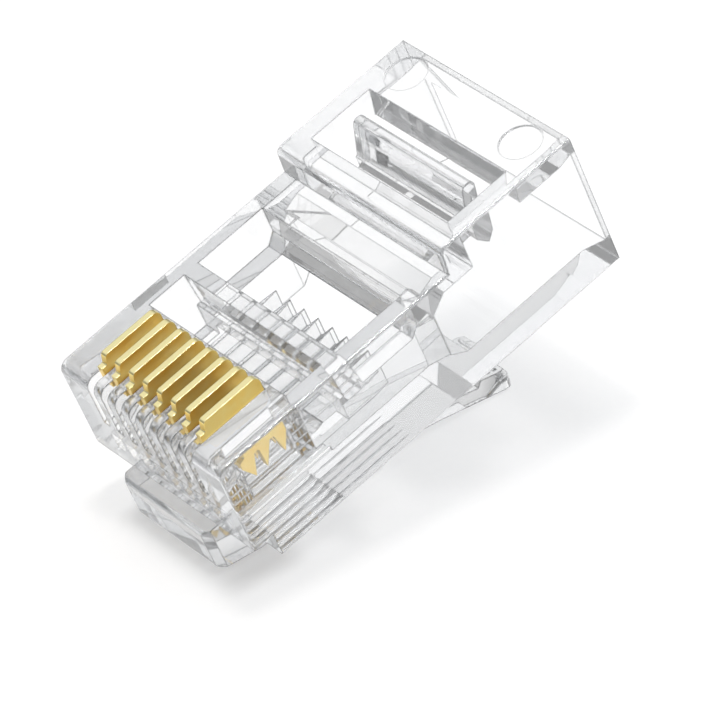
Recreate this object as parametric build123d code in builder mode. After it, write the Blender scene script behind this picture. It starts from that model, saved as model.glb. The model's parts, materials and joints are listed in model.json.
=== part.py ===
from build123d import *
import os
from math import asin, atan2, cos, hypot, radians, sin, tan

os.makedirs("parts", exist_ok=True)

# An eight-position modular plug before it is crimped: a clear moulded housing with
# its springy latch and its jacket bar, and eight thin contact blades.
# Sizes are millimetres. In the plug's own directions x runs across it, y runs back
# from the nose face, and z runs up from the underside of the body.

# Body of the housing
plug_width = 11.68
plug_length = 21.5
front_height = 6.29
rear_height = 7.68
step_y = 13.6
step_lean = 0.07
nose_underside = 1.25
nose_depth = 1.07
nose_round = 0.5
step_round = 0.4
edge_round = 0.12

# Contact blades, measured back from their front edge and down from their top edge
contact_count = 8
contact_pitch = 1.016
blade_thickness = 0.35
blade_front = 0.87
blade_length = 3.59
blade_top = 7.13
blade_corner_round = 0.35
shoulder_length = 0.42
shoulder_drop = 0.52
shoulder_slope = 0.12
shoulder_round = 0.2
body_front_depth = 1.5
body_back_depth = 1.2
body_back_round = 0.2
front_waist = 0.98
back_waist = 2.94
front_barb = 0.66
front_barb_depth = 2.32
back_barb = 3.28
back_barb_depth = 1.99
barb_hook = 0.12
prong_root_depth = 2.33
prong_tip_depth = 3.5
prong_flank_depth = 2.5
first_tip = 1.14
second_tip = 1.8
third_tip = 2.85
first_gap = (1.48, 1.74)
second_gap = (2.38, 2.62)
gap_round = 0.09
crimp_travel = 1.11

# Slots that hold the blades, open at the top and the nose
slot_clearance = 0.05
prong_clearance = 0.1
slot_mouth_bottom = 3.7

# Conductor channels under the blades
channel_width = 0.8
channel_floor = 1.9
channel_roof = 2.85
channel_front = 0.45
channel_leadin = 5.6
separator_top = 3.7
separator_end = 9.7
separator_taper = 0.95
separator_tip = 0.05

# Pockets in the front half, and the cross-bar between them
pocket_width = 9.81
small_pocket_front = 4.75
small_pocket_floor = 3.1
crossbar_front = 6.84
crossbar_lean = 0.16
crossbar_foot = 0.24
crossbar_foot_top = 4.4
crossbar_flare = 0.36
crossbar_underside = 3.6
big_pocket_front = 7.68
big_pocket_back = 11.55
big_pocket_floor = 4.27
pocket_toe_length = 0.5
pocket_toe_height = 0.56
funnel_start = 11.4
funnel_end = 12.6

# Jacket cavity with the window over it
cavity_width = 9.57
cavity_floor = 1.4
cavity_roof = 6.25
cavity_front = 12.4
cavity_ramp = 0.8
wall_foot = 4.45
wall_ramp_back = 13.3
wall_underside = 5.15
window_front = 15.04
window_back = 18.58
window_lean = 0.235
mouth_flare = 0.42
mouth_flare_length = 1.25
mouth_lip = 0.2
mouth_lip_length = 0.75

# Round marks of the mould's ejector pins on the rear roof
ejector_diameter = 2.05
ejector_depth = 0.08
ejector_y = 20.15
ejector_spacing = 8.0

# Latch under the body, springing from the nose
root_width = 6.2
latch_seam = 0.02
root_reach = 0.8
root_bottom = -1.02
root_round = 0.25
root_chamfer = 0.35
root_neck = 1.25
neck_drop = 0.75
neck_foot = 0.2
neck_round = 0.3
hinge_y = 0.95
arm_angle = 15.2
arm_thickness = 1.05
arm_end = 12.1
taper_start = 1.3
shoulder_y = 8.6
shoulder_width = 4.5
tail_width = 3.2
tail_angle = 20.0
tail_length = 4.3
tail_thickness = 0.75
tail_round = 0.7
tip_reach = 0.3
tip_rise = 0.3
grip_length = 1.3
grip_rise = 0.35
grip_ramp = 0.25
ridge_count = 3
ridge_pitch = 0.36
ridge_radius = 0.1
ridge_margin = 0.25

# Jacket bar hanging in the window on a thin web
bar_width = 7.7
web_width = 6.7
web_seam = 0.02
web_thickness = 0.38
web_foot = 0.85
bar_thickness = 0.65
bar_front = 16.3
bar_lean = 0.5
bar_swell = 0.15
bar_top = 7.75
bar_bottom = 4.7
bar_toe = 0.4
bar_heel = 0.1
bar_end_round = 0.3


# The plug rests nose down on the rounded front edge of its latch root and the end of
# its tail. Its planes are turned to that pose, so that the surface it lies on is z = 0.
def arm_underside(y):
    return root_bottom - (y + root_reach) * tan(radians(arm_angle))


root_centre = (
    -root_reach + root_round,
    root_bottom + root_round * (1 - sin(radians(arm_angle))) / cos(radians(arm_angle)),
)
tail_start = (arm_end, arm_underside(arm_end))
tail_foot = (
    arm_end + tail_length * cos(radians(tail_angle)),
    tail_start[1] - tail_length * sin(radians(tail_angle)),
)
foot_span = tail_foot[0] - root_centre[0]
foot_drop = root_centre[1] - tail_foot[1]
rest_tilt = atan2(foot_drop, foot_span) - asin(root_round / hypot(foot_span, foot_drop))
rest_cos, rest_sin = cos(rest_tilt), sin(rest_tilt)
lift = root_round - root_centre[0] * rest_sin - root_centre[1] * rest_cos
foremost = nose_round * rest_cos - (front_height - nose_round) * rest_sin - nose_round
rearmost = plug_length * rest_cos
rest_origin = (0, -(foremost + rearmost) / 2, lift)

side_plane = Plane(origin=rest_origin, x_dir=(0, rest_cos, rest_sin), z_dir=(1, 0, 0))
top_plane = Plane(origin=rest_origin, x_dir=(1, 0, 0), z_dir=(0, -rest_sin, rest_cos))

contact_x = [(contact_count - 1 - 2 * i) * contact_pitch / 2 for i in range(contact_count)]
separator_x = [x - contact_pitch / 2 for x in contact_x[:-1]]
bank_width = (contact_count - 1) * contact_pitch + channel_width
slot_width = blade_thickness + 2 * slot_clearance
slot_seat = blade_top - crimp_travel - body_front_depth - slot_clearance
prong_front = blade_front + front_barb - prong_clearance
prong_back = blade_front + back_barb + prong_clearance
blade_back = blade_front + blade_length + slot_clearance
crossbar_foot_front = crossbar_front + crossbar_lean - crossbar_foot
crossbar_foot_back = big_pocket_front + crossbar_flare
toe_front = big_pocket_back - pocket_toe_length


def near(y, z):
    return vertices().sort_by_distance((y, z))[0]


# Housing: one clear moulding
with BuildPart() as housing:
    with BuildSketch(side_plane):
        with BuildLine():
            Polyline(
                (0, nose_underside),
                (0, front_height),
                (step_y, front_height),
                (step_y + step_lean, rear_height),
                (plug_length, rear_height),
                (plug_length, 0),
                (nose_depth, 0),
                (nose_depth, nose_underside),
                close=True,
            )
        make_face()
        fillet(near(0, front_height), nose_round)
        fillet(near(step_y + step_lean, rear_height), step_round)
    extrude(amount=plug_width / 2, both=True)
    long_edges = housing.edges().filter_by(Axis((0, 0, 0), side_plane.x_dir))
    fillet(long_edges, edge_round)

    # Jacket cavity, open at the rear, and the window in its roof
    with BuildSketch(side_plane):
        with BuildLine():
            Polyline(
                (plug_length, cavity_floor - mouth_flare),
                (plug_length - mouth_flare_length, cavity_floor),
                (cavity_front + cavity_ramp, cavity_floor),
                (cavity_front, channel_floor),
                (cavity_front, wall_foot),
                (wall_ramp_back, wall_underside),
                (window_front, wall_underside),
                (window_front, rear_height),
                (window_back, rear_height),
                (window_back - window_lean, cavity_roof),
                (plug_length - mouth_lip_length, cavity_roof),
                (plug_length, cavity_roof + mouth_lip),
                close=True,
            )
        make_face()
    extrude(amount=cavity_width / 2, both=True, mode=Mode.SUBTRACT)

    # Pocket over the conductors, and the funnel that leads them to their channels under
    # a roof that slopes down from the wall's foot to the pocket's toe
    with BuildSketch(side_plane):
        with BuildLine():
            Polyline(
                (big_pocket_front, front_height),
                (crossbar_foot_back, big_pocket_floor),
                (toe_front, big_pocket_floor),
                (big_pocket_back, big_pocket_floor + pocket_toe_height),
                (big_pocket_back, front_height),
                close=True,
            )
        make_face()
    extrude(amount=pocket_width / 2, both=True, mode=Mode.SUBTRACT)
    with BuildSketch(top_plane.offset(channel_floor)):
        with BuildLine():
            Polyline(
                (-bank_width / 2, crossbar_foot_back),
                (-bank_width / 2, funnel_start),
                (-cavity_width / 2, funnel_end),
                (cavity_width / 2, funnel_end),
                (bank_width / 2, funnel_start),
                (bank_width / 2, crossbar_foot_back),
                close=True,
            )
        make_face()
    extrude(amount=big_pocket_floor - channel_floor, mode=Mode.SUBTRACT)
    with BuildSketch(side_plane):
        with BuildLine():
            Polyline(
                (toe_front, big_pocket_floor),
                (cavity_front, big_pocket_floor),
                (cavity_front, wall_foot),
                close=True,
            )
        make_face()
    extrude(amount=bank_width / 2, both=True, mode=Mode.SUBTRACT)

    # Pocket behind the blades, with a step at the foot of the cross-bar
    with BuildSketch(side_plane):
        with BuildLine():
            Polyline(
                (small_pocket_front, front_height),
                (small_pocket_front, small_pocket_floor),
                (crossbar_foot_front, small_pocket_floor),
                (crossbar_foot_front, crossbar_foot_top),
                (crossbar_front + crossbar_lean, crossbar_foot_top),
                (crossbar_front, front_height),
                close=True,
            )
        make_face()
    extrude(amount=pocket_width / 2, both=True, mode=Mode.SUBTRACT)

    # Round-bottomed conductor channels, with a lead-in that rises to pass under the cross-bar
    channel_plane = Plane(
        origin=side_plane.from_local_coords((channel_front, 0)),
        x_dir=(1, 0, 0),
        z_dir=(0, -rest_cos, -rest_sin),
    )
    with BuildSketch(channel_plane):
        with Locations(*[(x, channel_floor + channel_width / 2) for x in contact_x]):
            Circle(channel_width / 2)
        with Locations(*[(x, channel_roof) for x in contact_x]):
            Rectangle(
                channel_width,
                channel_roof - channel_floor - channel_width / 2,
                align=(Align.CENTER, Align.MAX),
            )
    extrude(amount=channel_front - channel_leadin, mode=Mode.SUBTRACT)
    with BuildSketch(side_plane):
        with BuildLine():
            Polyline(
                (channel_leadin, channel_floor),
                (channel_leadin, channel_roof),
                (crossbar_foot_front, crossbar_underside),
                (crossbar_foot_back, crossbar_underside),
                (crossbar_foot_back, channel_floor),
                close=True,
            )
        make_face()
    extrude(amount=bank_width / 2, both=True, mode=Mode.SUBTRACT)
    with BuildSketch(top_plane.offset(channel_floor)):
        for x in separator_x:
            half = (contact_pitch - channel_width) / 2
            with BuildLine():
                Polyline(
                    (x - half, channel_leadin),
                    (x - half, separator_end - separator_taper),
                    (x - separator_tip / 2, separator_end),
                    (x + separator_tip / 2, separator_end),
                    (x + half, separator_end - separator_taper),
                    (x + half, channel_leadin),
                    close=True,
                )
            make_face()
    extrude(amount=separator_top - channel_floor)

    # Slots for the blades, each opening down into its channel
    for x in contact_x:
        with BuildSketch(side_plane.offset(x - slot_width / 2)):
            with BuildLine():
                Polyline(
                    (0, front_height),
                    (0, slot_mouth_bottom),
                    (prong_front, slot_seat),
                    (prong_front, channel_floor + channel_width / 2),
                    (prong_back, channel_floor + channel_width / 2),
                    (prong_back, slot_seat),
                    (blade_back, slot_seat),
                    (blade_back, front_height),
                    close=True,
                )
            make_face()
        extrude(amount=slot_width, mode=Mode.SUBTRACT)

    # Ejector marks
    with BuildSketch(top_plane.offset(rear_height - ejector_depth)):
        with Locations((-ejector_spacing / 2, ejector_y), (ejector_spacing / 2, ejector_y)):
            Circle(ejector_diameter / 2)
    extrude(amount=ejector_depth, mode=Mode.SUBTRACT)
housing.part.label = "housing"
export_step(housing.part, "parts/housing.step")


# Latch: root under the nose, arm with two shoulders, and a narrow tail with a ridged grip
def tail_underside(y):
    return tail_start[1] - (y - arm_end) * tan(radians(tail_angle))


arm_rise = arm_thickness / cos(radians(arm_angle))
tail_rise = tail_thickness / cos(radians(tail_angle))
grip_y = tail_foot[0] - grip_length
neck_y = root_neck - root_reach
arm_top_front = (neck_y + neck_foot, arm_underside(neck_y + neck_foot) + arm_rise)

with BuildPart() as latch_tab:
    with BuildSketch(side_plane):
        with BuildLine():
            Polyline(
                (-root_reach, nose_underside - latch_seam),
                (-root_reach, root_bottom),
                tail_start,
                tail_foot,
                (tail_foot[0] + tip_reach, tail_foot[1] + tip_rise),
                (tail_foot[0], tail_foot[1] + tail_rise + grip_rise),
                (grip_y, tail_underside(grip_y) + tail_rise + grip_rise),
                (grip_y - grip_ramp, tail_underside(grip_y - grip_ramp) + tail_rise),
                (arm_end, tail_start[1] + tail_rise),
                (shoulder_y, arm_underside(shoulder_y) + arm_rise),
                arm_top_front,
                (neck_y, nose_underside - neck_drop),
                (hinge_y, nose_underside - latch_seam),
                close=True,
            )
        make_face()
        fillet(near(-root_reach, nose_underside), root_round)
        fillet(near(-root_reach, root_bottom), root_round)
        fillet(near(*arm_top_front), neck_round)
        fillet(near(neck_y, nose_underside - neck_drop), neck_round)
    extrude(amount=root_width / 2, both=True)
    with BuildSketch(side_plane):
        for i in range(ridge_count):
            y = tail_foot[0] - (i + 1) * ridge_pitch
            with Locations((y, tail_underside(y) + tail_rise + grip_rise)):
                Circle(ridge_radius)
    extrude(amount=tail_width / 2 - ridge_margin, both=True)
    with BuildSketch(top_plane.offset(nose_underside)):
        with BuildLine():
            Polyline(
                (0, -root_reach),
                (root_width / 2 - root_chamfer, -root_reach),
                (root_width / 2, -root_reach + root_chamfer),
                (root_width / 2, taper_start),
                (shoulder_width / 2, shoulder_y),
                (tail_width / 2, shoulder_y),
                (tail_width / 2, tail_foot[0] + tip_reach),
                (0, tail_foot[0] + tip_reach),
                close=True,
            )
        make_face()
        mirror(about=Plane.YZ)
        fillet(vertices().group_by(Axis.Y)[-1], tail_round)
    extrude(amount=-plug_length, mode=Mode.INTERSECT)
latch_tab.part.label = "latch_tab"
export_step(latch_tab.part, "parts/latch_tab.step")


# Jacket bar: a leaning plate with a rounded crest, carried by a thin web
with BuildPart() as strain_relief_bar:
    web_root = window_front + web_seam
    crest_front = bar_front + bar_lean
    with BuildSketch(side_plane):
        with BuildLine():
            Polyline(
                (web_root, wall_underside),
                (web_root, wall_underside + web_thickness),
                (bar_front, wall_underside + web_foot),
                (crest_front, bar_top),
                (crest_front + bar_thickness, bar_top),
                (bar_front + bar_thickness + bar_swell, wall_underside),
                (bar_front + bar_toe, bar_bottom),
                (bar_front - bar_heel, wall_underside + bar_heel),
                close=True,
            )
        make_face()
        fillet(near(crest_front, bar_top), bar_end_round)
        fillet(near(crest_front + bar_thickness, bar_top), bar_end_round)
    extrude(amount=bar_width / 2, both=True)
    with BuildSketch(top_plane.offset(bar_top)):
        with Locations((0, web_root)):
            Rectangle(web_width, bar_front - web_root, align=(Align.CENTER, Align.MIN))
        with Locations((0, bar_front - bar_heel)):
            Rectangle(bar_width, plug_length, align=(Align.CENTER, Align.MIN))
    extrude(amount=-rear_height, mode=Mode.INTERSECT)
strain_relief_bar.part.label = "strain_relief_bar"
export_step(strain_relief_bar.part, "parts/strain_relief_bar.step")


# Contact blades: one sheet-metal outline, with a shoulder in front, a barb on each
# side and three prongs that pierce the conductor
def on_blade(back, down):
    return (blade_front + back, blade_top - down)


shoulder_foot = on_blade(shoulder_length - shoulder_slope, shoulder_drop)
blade_outline = [
    on_blade(0, shoulder_drop),
    shoulder_foot,
    on_blade(shoulder_length, 0),
    on_blade(blade_length, 0),
    on_blade(blade_length, body_back_depth),
    on_blade(back_waist, body_back_depth),
    on_blade(back_waist, back_barb_depth - barb_hook),
    on_blade(back_barb, back_barb_depth),
    on_blade(back_barb, prong_flank_depth),
    on_blade(third_tip, prong_tip_depth),
    on_blade(second_gap[1], prong_root_depth),
    on_blade(second_gap[0], prong_root_depth),
    on_blade(second_tip, prong_tip_depth),
    on_blade(first_gap[1], prong_root_depth),
    on_blade(first_gap[0], prong_root_depth),
    on_blade(first_tip, prong_tip_depth),
    on_blade(front_barb, prong_tip_depth - front_barb_depth + body_front_depth),
    on_blade(front_barb, front_barb_depth),
    on_blade(front_waist, front_barb_depth - barb_hook),
    on_blade(front_waist, body_front_depth),
    on_blade(0, body_front_depth),
]

for i, x in enumerate(contact_x):
    with BuildPart() as contact:
        with BuildSketch(side_plane.offset(x - blade_thickness / 2)):
            with BuildLine():
                Polyline(*blade_outline, close=True)
            make_face()
            fillet(near(*shoulder_foot), shoulder_round / 2)
            fillet(near(*on_blade(shoulder_length, 0)), shoulder_round)
            fillet(near(*on_blade(blade_length, 0)), blade_corner_round)
            fillet(near(*on_blade(blade_length, body_back_depth)), body_back_round)
            fillet(near(*on_blade(front_waist, front_barb_depth - barb_hook)), barb_hook)
            for gap in (first_gap, second_gap):
                for back in gap:
                    fillet(near(*on_blade(back, prong_root_depth)), gap_round)
        extrude(amount=blade_thickness)
    contact.part.label = f"contact_{i + 1}"
    export_step(contact.part, f"parts/contact_{i + 1}.step")
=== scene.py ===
# %% [markdown]
# # A clear modular plug, lying on its latch
#
# The real plug is one moulding of clear polycarbonate with eight gold-plated blades
# pushed into slots at its nose. Nearly everything we see is light bent by the plastic,
# so this lesson is mostly about glass-like materials and about what stands round the
# plug to be bent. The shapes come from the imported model, which is the fixed frame, and
# every length here is in metres.

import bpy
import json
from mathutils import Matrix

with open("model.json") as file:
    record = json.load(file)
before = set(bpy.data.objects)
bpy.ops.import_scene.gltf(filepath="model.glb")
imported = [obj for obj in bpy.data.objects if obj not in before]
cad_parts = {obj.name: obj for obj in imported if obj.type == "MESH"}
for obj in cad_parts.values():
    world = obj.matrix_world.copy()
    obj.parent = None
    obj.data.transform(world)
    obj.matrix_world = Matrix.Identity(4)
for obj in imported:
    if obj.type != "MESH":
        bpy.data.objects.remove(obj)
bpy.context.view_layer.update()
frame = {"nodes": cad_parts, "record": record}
print("Nodes:", ", ".join(sorted(frame["nodes"])))

# %% Other modules
import json
from math import cos, radians, sin

import bpy
from mathutils import Matrix, Vector

millimetre = 0.001

# %% [markdown]
# ## The camera
#
# The photograph was taken from far away through a long lens: edges that are parallel
# on the plug stay almost parallel in the picture. We could look for the view by eye, or
# work it out. Here the plug's known width and blade pitch gave the distance, the angle
# of view and the three turns, so the plug fills the same pixels as in the photograph.
# The camera is rolled a little, so that the plug seems to lean.

# %% Camera
view_azimuth = 55.58
view_elevation = 34.835
view_roll = -6.667
view_distance = 275.17 * millimetre
view_angle = 6.5731
view_target = Vector((1.410, -0.255, 5.422)) * millimetre


def away_from(azimuth, elevation):
    """A direction from the plug outwards: azimuth 0 is towards -Y, 90 is towards +X."""
    a, e = radians(azimuth), radians(elevation)
    return Vector((sin(a) * cos(e), -cos(a) * cos(e), sin(e)))


camera_data = bpy.data.cameras.new("camera")
camera_data.angle = radians(view_angle)
camera_data.clip_start = 1 * millimetre
camera_data.clip_end = 10.0
camera = bpy.data.objects.new("camera", camera_data)
bpy.context.scene.collection.objects.link(camera)
towards_camera = away_from(view_azimuth, view_elevation)
camera.location = view_target + towards_camera * view_distance
level_view = (-towards_camera).to_track_quat("-Z", "Y").to_matrix()
camera.matrix_world = Matrix.Translation(camera.location) @ (
    level_view @ Matrix.Rotation(radians(view_roll), 3, "Z")
).to_4x4()
bpy.context.scene.camera = camera
print("Camera at", [round(v * 1000, 1) for v in camera.location], "mm")

# %% [markdown]
# ## Shader maths as plain expressions
#
# A node tree is easiest to read when it looks like the sum it works out. The small
# class below wraps one socket. Adding, multiplying, subtracting or comparing two of them
# adds the Math node for us, and `Shader.node` makes any other node from its type, its
# settings and the values or links of its inputs. Colours are mixed by a node of their
# own, because a Math node would turn them grey.


# %% A socket that can be added and multiplied
class Value:
    """One output socket, with the arithmetic that adds Math nodes."""

    def __init__(self, shader, socket):
        self.shader = shader
        self.socket = socket

    def maths(self, operation, *inputs):
        return self.shader.node("ShaderNodeMath", {"operation": operation}, dict(enumerate(inputs)))

    def __add__(self, other):
        return self.maths("ADD", self, other)

    def __radd__(self, other):
        return self.maths("ADD", other, self)

    def __sub__(self, other):
        return self.maths("SUBTRACT", self, other)

    def __rsub__(self, other):
        return self.maths("SUBTRACT", other, self)

    def __mul__(self, other):
        return self.maths("MULTIPLY", self, other)

    def __rmul__(self, other):
        return self.maths("MULTIPLY", other, self)

    def __gt__(self, other):
        return self.maths("GREATER_THAN", self, other)

    def clamped(self):
        return self.maths("MAXIMUM", self.maths("MINIMUM", self, 1.0), 0.0)

    def between(self, low, high):
        """0 at low, 1 at high, smooth in between."""
        return self.shader.node(
            "ShaderNodeMapRange",
            {"interpolation_type": "SMOOTHSTEP"},
            {"Value": self, "From Min": low, "From Max": high},
        )


# %% A material or world under construction
class Shader:
    """A node tree that is filled one node at a time."""

    def __init__(self, owner):
        owner.use_nodes = True
        self.owner = owner
        self.tree = owner.node_tree
        self.tree.nodes.clear()

    def node(self, kind, settings=None, inputs=None, output=0):
        made = self.tree.nodes.new(kind)
        for name, setting in (settings or {}).items():
            setattr(made, name, setting)
        for name, given in (inputs or {}).items():
            if isinstance(given, Value):
                self.tree.links.new(given.socket, made.inputs[name])
            else:
                made.inputs[name].default_value = given
        return Value(self, made.outputs[output])

    def measure(self, operation, *vectors):
        """One number from vectors, such as a distance or a dot product."""
        settings = {"operation": operation}
        return self.node("ShaderNodeVectorMath", settings, dict(enumerate(vectors)), output="Value")

    def mix_shaders(self, factor, first, second):
        """The first shader where the factor is 0, the second where it is 1."""
        return self.node("ShaderNodeMixShader", {}, {0: factor, 1: first, 2: second})

    def light_path(self, name):
        """1 for the rays that the name tells of, or a count of what a ray went through."""
        return self.node("ShaderNodeLightPath", output=name)

    def mix_colours(self, factor, first, second):
        """A Mix node set to colours: first where the factor is 0, second where it is 1."""
        # The node has sockets for numbers, vectors and colours: 6, 7 and output 2 are colours.
        return self.node("ShaderNodeMix", {"data_type": "RGBA"}, {0: factor, 6: first, 7: second}, output=2)

    def finish(self, surface, volume=None):
        is_world = isinstance(self.owner, bpy.types.World)
        out = self.tree.nodes.new("ShaderNodeOutputWorld" if is_world else "ShaderNodeOutputMaterial")
        self.tree.links.new(surface.socket, out.inputs["Surface"])
        if volume:
            self.tree.links.new(volume.socket, out.inputs["Volume"])
        print("Made", self.owner.name, "with", len(self.tree.nodes), "nodes")
        return self.owner


# %% [markdown]
# ## The marks of the ejector pins
#
# Two pins push the hot plug out of its mould, and each leaves a shallow round mark on
# the rear roof, a little matt and milky. The marks are in the CAD shape. What is left is
# to tell the material where they are. An image could be painted for it, but a distance
# from each mark's middle does the same and stays sharp. The middles are worked out from
# the mount of the cable's entry, whose place and axis come with the frame.

# %% Ejector marks
entry = next(m for m in frame["record"]["mounts"] if m["name"] == "cable_entry")
backwards = Vector(entry["axis"])
upwards = Vector((1.0, 0.0, 0.0)).cross(backwards)
mark_inset = 1.35 * millimetre
mark_rise = 3.855 * millimetre
mark_spacing = 8.0 * millimetre
mark_edge = (1.07 * millimetre, 1.14 * millimetre)
mark_matt = 0.08
mark_haze = 0.10
mark_softening = 0.6
marks_middle = Vector(entry["pos_m"]) - backwards * mark_inset + upwards * mark_rise
print("Marks round", [round(v * 1000, 2) for v in marks_middle], "mm")


def ejector_marks(s, place):
    """1 on the two round marks, 0 everywhere else."""
    found = []
    for side in (-0.5, 0.5):
        middle = marks_middle + Vector((side * mark_spacing, 0.0, 0.0))
        found.append(1.0 - s.measure("DISTANCE", place, middle).between(*mark_edge))
    return found[0] + found[1]


# %% [markdown]
# ## The clear plastic
#
# Polycarbonate bends light more than window glass does: its refractive index is 1.585.
# One way to draw it is a mix of see-through and glossy shaders, which is quick but has
# no bending, and this plug is all bending. So it is a full transmission material, with
# a real moulding's faults kept very small: slow flow ripples, a faint grain in the
# polish, and edges that the mould leaves slightly round. The Bevel node rounds them in
# the shading alone. At a tenth of a millimetre that is enough, and it draws the thin
# bright and dark line along every edge.

# %% The moulded surface
plastic_index = 1.585
flow_scale = 180.0
flow_height = 0.001 * millimetre
flow_strength = 0.35
grain_scale = 5200.0
grain_range = (0.35, 0.75)
polish_best = 0.003
polish_worst = 0.010
edge_radius = 0.10 * millimetre
bevel_samples = 4
clear_thin = (0.990, 0.992, 0.994, 1.0)
clear_bright = (0.997, 0.998, 0.999, 1.0)


def moulded_surface(s, place, round_edges, marks):
    flow = s.node("ShaderNodeTexNoise", {}, {"Vector": place, "Scale": flow_scale, "Detail": 2.0})
    grain = s.node("ShaderNodeTexNoise", {}, {"Vector": place, "Scale": grain_scale, "Detail": 3.0})
    roughness = grain.between(*grain_range) * (polish_worst - polish_best) + polish_best + marks * mark_matt
    ripples = s.node(
        "ShaderNodeBump",
        {},
        {"Height": flow, "Strength": flow_strength, "Distance": flow_height, "Normal": round_edges},
    )
    return s.node(
        "ShaderNodeBsdfPrincipled",
        {},
        {
            "Base Color": s.mix_colours(flow, clear_thin, clear_bright),
            "Roughness": roughness,
            "IOR": plastic_index,
            "Transmission Weight": 1.0,
            "Normal": ripples,
        },
    )


# %% [markdown]
# ## Painted edge lines
#
# Where a flat face meets another, a real plug shows a fine grey line, which its rounded
# edge bends in from the darker room. Here that line is painted shade. The angle between
# the rounded direction and the true one is nothing on a flat face and large at an edge,
# so it makes a mask that needs no unwrapping. It mixes in a shader that lets light
# through straight and grey. The shallow rings of the marks get less.

# %% Painted edge lines
edge_start = 0.005
edge_full = 0.06
edge_share = 0.88
painted_edge_tint = (0.37, 0.375, 0.38, 1.0)


def with_painted_edge_lines(s, round_edges, marks, clear):
    flat = s.node("ShaderNodeNewGeometry", output="True Normal")
    turned = 1.0 - s.measure("DOT_PRODUCT", round_edges, flat)
    edge = turned.between(edge_start, edge_full) * edge_share * (1.0 - marks * mark_softening)
    # Painted shade: a grey see-through shader laid along every edge
    painted_edge_shade = s.node("ShaderNodeBsdfTransparent", {}, {"Color": painted_edge_tint})
    return s.mix_shaders(edge, clear, painted_edge_shade)


# %% [markdown]
# ## Haze, and light that is caught inside
#
# Perfect glass looks too clean, so a few hundredths of white diffuse shader stand for
# the haze of handling, and the marks have more of it. The harder fault is light that is
# mirrored round and round inside the walls. The renderer gives it up after four
# mirrorings, and black patches stay where a real plug is only grey. A higher limit would
# be a render setting, and slow. Instead the material counts: from the fourth mirroring
# on, light leaves straight through the surface and loses a little each time.

# %% Haze and the way out
haze = 0.03
haze_colour = (0.93, 0.935, 0.94, 1.0)
most_mirrorings = 3.5
way_out_tint = (0.90, 0.903, 0.906, 1.0)


def with_a_way_out(s, marks, clear):
    scuffs = s.node("ShaderNodeBsdfDiffuse", {}, {"Color": haze_colour})
    way_out = s.node("ShaderNodeBsdfTransparent", {}, {"Color": way_out_tint})
    caught = s.light_path("Glossy Depth") > most_mirrorings
    return s.mix_shaders(caught, s.mix_shaders(marks * mark_haze + haze, clear, scuffs), way_out)


# %% [markdown]
# ## Light that reaches the table
#
# A clear thing throws a pale shadow with bright lines in it, but a path tracer finds
# those lines only with much noise, and draws the shadow of a black block where it
# doesn't. So the rays that look for a lamp pass the plastic straight and lose a seventh
# at each surface, and the rays that look for soft light lose almost nothing. Inside,
# the plastic swallows a little light on the way, which is why its thick rims look
# greyer than its thin floors.

# %% Clear plastic
shadow_tint = (0.86, 0.865, 0.87, 1.0)
soft_light_tint = (0.985, 0.985, 0.985, 1.0)
depth_tint = (0.85, 0.86, 0.87, 1.0)
depth_density = 60.0


def clear_plastic():
    s = Shader(bpy.data.materials.new("clear_polycarbonate"))
    round_edges = s.node("ShaderNodeBevel", {"samples": bevel_samples}, {"Radius": edge_radius})
    place = s.node("ShaderNodeTexCoord", output="Object")
    marks = ejector_marks(s, place)
    clear = moulded_surface(s, place, round_edges, marks)
    seen = with_painted_edge_lines(s, round_edges, marks, with_a_way_out(s, marks, clear))
    to_lamps = s.node("ShaderNodeBsdfTransparent", {}, {"Color": shadow_tint})
    to_sky = s.node("ShaderNodeBsdfTransparent", {}, {"Color": soft_light_tint})
    lit = s.mix_shaders(s.light_path("Is Diffuse Ray"), seen, to_sky)
    surface = s.mix_shaders(s.light_path("Is Shadow Ray"), lit, to_lamps)
    inside = s.node("ShaderNodeVolumeAbsorption", {}, {"Color": depth_tint, "Density": depth_density})
    return s.finish(surface, inside)


# %% [markdown]
# ## The gold blades
# The blades are stamped from phosphor bronze strip and plated with gold. Their flat
# sides keep faint rolling marks and the full colour. The top edges, which face the
# bright ceiling, get paler gold as a painted highlight, with full metal and a smoother
# polish. Two materials would meet in a hard line. One material that asks which way the
# surface faces has both, with the soft change of a stamped edge between them. The top
# edges face upwards, in the direction that placed the ejector marks.

# %% Gold
side_pale = (1.0, 0.77, 0.26, 1.0)
side_deep = (1.0, 0.69, 0.17, 1.0)
# Painted highlight: the paler gold of the upward top edges
painted_highlight_colour = (1.0, 0.90, 0.48, 1.0)
top_range = (0.3, 0.8)
blotch_scale = 900.0
blotch_range = (0.3, 0.7)
roll_stretch = (60.0, 400.0, 9000.0)
roll_height = 0.003 * millimetre
roll_strength = 0.1
stamped_radius = 0.04 * millimetre
side_metal = 0.8
top_metal = 1.0
side_roughness = 0.26
top_roughness = 0.12
roll_roughness = 0.1


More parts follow.
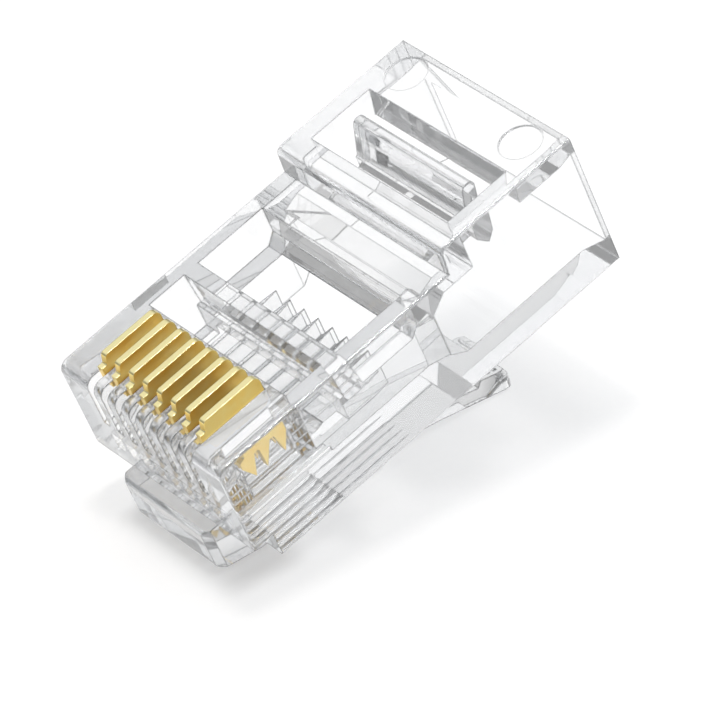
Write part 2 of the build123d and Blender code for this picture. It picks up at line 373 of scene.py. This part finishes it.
def blade_gold():
    s = Shader(bpy.data.materials.new("gold_plating"))
    place = s.node("ShaderNodeTexCoord", output="Object")
    facing = s.node("ShaderNodeTexCoord", output="Normal")
    # Painted highlight mask: the faces that point up towards the bright ceiling
    painted_top_highlight = s.measure("DOT_PRODUCT", facing, upwards).between(*top_range)
    blotches = s.node("ShaderNodeTexNoise", {}, {"Vector": place, "Scale": blotch_scale, "Detail": 4.0})
    stretched = s.node("ShaderNodeMapping", {}, {"Vector": place, "Scale": roll_stretch})
    rolling = s.node("ShaderNodeTexNoise", {}, {"Vector": stretched, "Scale": 1.0, "Detail": 2.0})
    sides = s.mix_colours(blotches.between(*blotch_range), side_pale, side_deep)
    stamped = s.node("ShaderNodeBevel", {"samples": bevel_samples}, {"Radius": stamped_radius})
    roll_marks = s.node(
        "ShaderNodeBump",
        {},
        {"Height": rolling, "Strength": roll_strength, "Distance": roll_height, "Normal": stamped},
    )
    roughness = rolling * roll_roughness + side_roughness - painted_top_highlight * (side_roughness - top_roughness)
    metal = s.node(
        "ShaderNodeBsdfPrincipled",
        {},
        {
            "Base Color": s.mix_colours(painted_top_highlight, sides, painted_highlight_colour),
            "Metallic": painted_top_highlight * (top_metal - side_metal) + side_metal,
            "Roughness": roughness,
            "Normal": roll_marks,
        },
    )
    return s.finish(metal)


# %% Give each node its material
materials = {"clear_plastic": clear_plastic(), "gold_contact": blade_gold()}
for part in frame["record"]["subparts"]:
    node = frame["nodes"][part["node"]]
    node.data.materials.clear()
    node.data.materials.append(materials[part["material_slot"]])
    print(part["node"], "is", part["material_slot"])

# %% [markdown]
# ## The table
#
# The plug lies on white paper that runs out of the picture. The paper has to be white
# in the picture and still show the shadow, so the camera sees a faint glow of its own
# added to the light that falls on it. Lamps strong enough to do the same would burn out
# the plug. What the plastic bends is the rest of the room too: around the paper lie dark
# cards, which no camera ray sees, and which the plug's rims show as grey lines. Without
# them a clear thing on white paper has no outline.

# %% White table
table_size = 600 * millimetre
table_drop = 0.01 * millimetre
fibre_scale = 3000.0
fibre_pale = (0.88, 0.88, 0.88, 1.0)
fibre_grey = (0.86, 0.86, 0.865, 1.0)
paper_roughness = 0.9
glow_seen = 0.05
glow_bent = 0.11
cards_start = 25 * millimetre
cards_full = 60 * millimetre
card_grey = (0.28, 0.28, 0.28, 1.0)


def white_paper():
    s = Shader(bpy.data.materials.new("white_paper"))
    place = s.node("ShaderNodeTexCoord", output="Object")
    fibres = s.node("ShaderNodeTexNoise", {}, {"Vector": place, "Scale": fibre_scale, "Detail": 3.0})
    colour = s.mix_colours(fibres, fibre_grey, fibre_pale)
    paper = s.node(
        "ShaderNodeBsdfPrincipled",
        {},
        {"Base Color": colour, "Roughness": paper_roughness, "Specular IOR Level": 0.0},
    )
    faint = s.node("ShaderNodeEmission", {}, {"Strength": glow_seen})
    strong = s.node("ShaderNodeEmission", {}, {"Strength": glow_bent})
    paper_seen = s.node("ShaderNodeAddShader", {}, {0: paper, 1: faint})
    paper_bent = s.node("ShaderNodeAddShader", {}, {0: paper, 1: strong})
    bent = (s.light_path("Is Glossy Ray") + s.light_path("Is Transmission Ray")).clamped()
    cards = s.node("ShaderNodeBsdfDiffuse", {}, {"Color": card_grey})
    far = s.measure("LENGTH", place).between(cards_start, cards_full)
    room = s.mix_shaders(far, s.mix_shaders(bent, paper, paper_bent), cards)
    return s.finish(s.mix_shaders(s.light_path("Is Camera Ray"), room, paper_seen))


def flat_square(name, size, middle):
    """A square in the XY plane, cut into a grid of four."""
    half = size / 2
    steps = (-half, 0.0, half)
    corners = [(x, y, 0.0) for y in steps for x in steps]
    faces = [(i, i + 1, i + 4, i + 3) for i in (0, 1, 3, 4)]
    mesh = bpy.data.meshes.new(name)
    mesh.from_pydata(corners, [], faces)
    square = bpy.data.objects.new(name, mesh)
    square.location = middle
    bpy.context.scene.collection.objects.link(square)
    return square


table = flat_square("table", table_size, (0.0, 0.0, -table_drop))
table.data.materials.append(white_paper())
print("Table", table_size, "m across")

# %% [markdown]
# ## Light
#
# Clear things are lit by what stands behind and beside them. The world is a white
# ceiling that fades to a grey room low down and in front of the plug, so that the plug's
# edges, which bend light from far round, turn darker than the paper. One soft lamp
# almost straight above gives the paper its light, and the shadow its place under the
# plug. It stands a little to the left, away from the direction in which the flat tops
# would mirror it into the camera.

# %% World
sky_high = 1.05
sky_low = 0.33
sky_turn = (0.1, 0.7)
front_turn = (0.1, 0.9)
front_shade = 0.40


def white_room():
    world = bpy.data.worlds.new("white_room")
    bpy.context.scene.world = world
    s = Shader(world)
    direction = s.node("ShaderNodeTexCoord", output="Generated")
    height = s.node("ShaderNodeSeparateXYZ", {}, {"Vector": direction}, output="Z")
    front = away_from(view_azimuth, 0.0)
    shade = 1.0 - s.measure("DOT_PRODUCT", direction, front).between(*front_turn) * front_shade
    light = (height.between(*sky_turn) * (sky_high - sky_low) + sky_low) * shade
    camera_ray = s.light_path("Is Camera Ray")
    strength = s.node("ShaderNodeMix", {}, {"Factor": camera_ray, "A": light, "B": 1.0})
    return s.finish(s.node("ShaderNodeBackground", {}, {"Strength": strength}))


white_room()


# %% Lamps
def soft_lamp(name, azimuth, elevation, distance, size, power):
    data = bpy.data.lights.new(name, "AREA")
    data.shape = "DISK"
    data.size = size
    data.energy = power
    lamp = bpy.data.objects.new(name, data)
    direction = away_from(azimuth, elevation)
    lamp.location = direction * distance
    lamp.rotation_mode = "QUATERNION"
    lamp.rotation_quaternion = direction.to_track_quat("Z", "Y")
    bpy.context.scene.collection.objects.link(lamp)
    print(name, power, "W")


soft_lamp("overhead", azimuth=-90, elevation=84, distance=0.5, size=0.09, power=1.25)

# %% View transform
bpy.context.scene.view_settings.view_transform = "Standard"
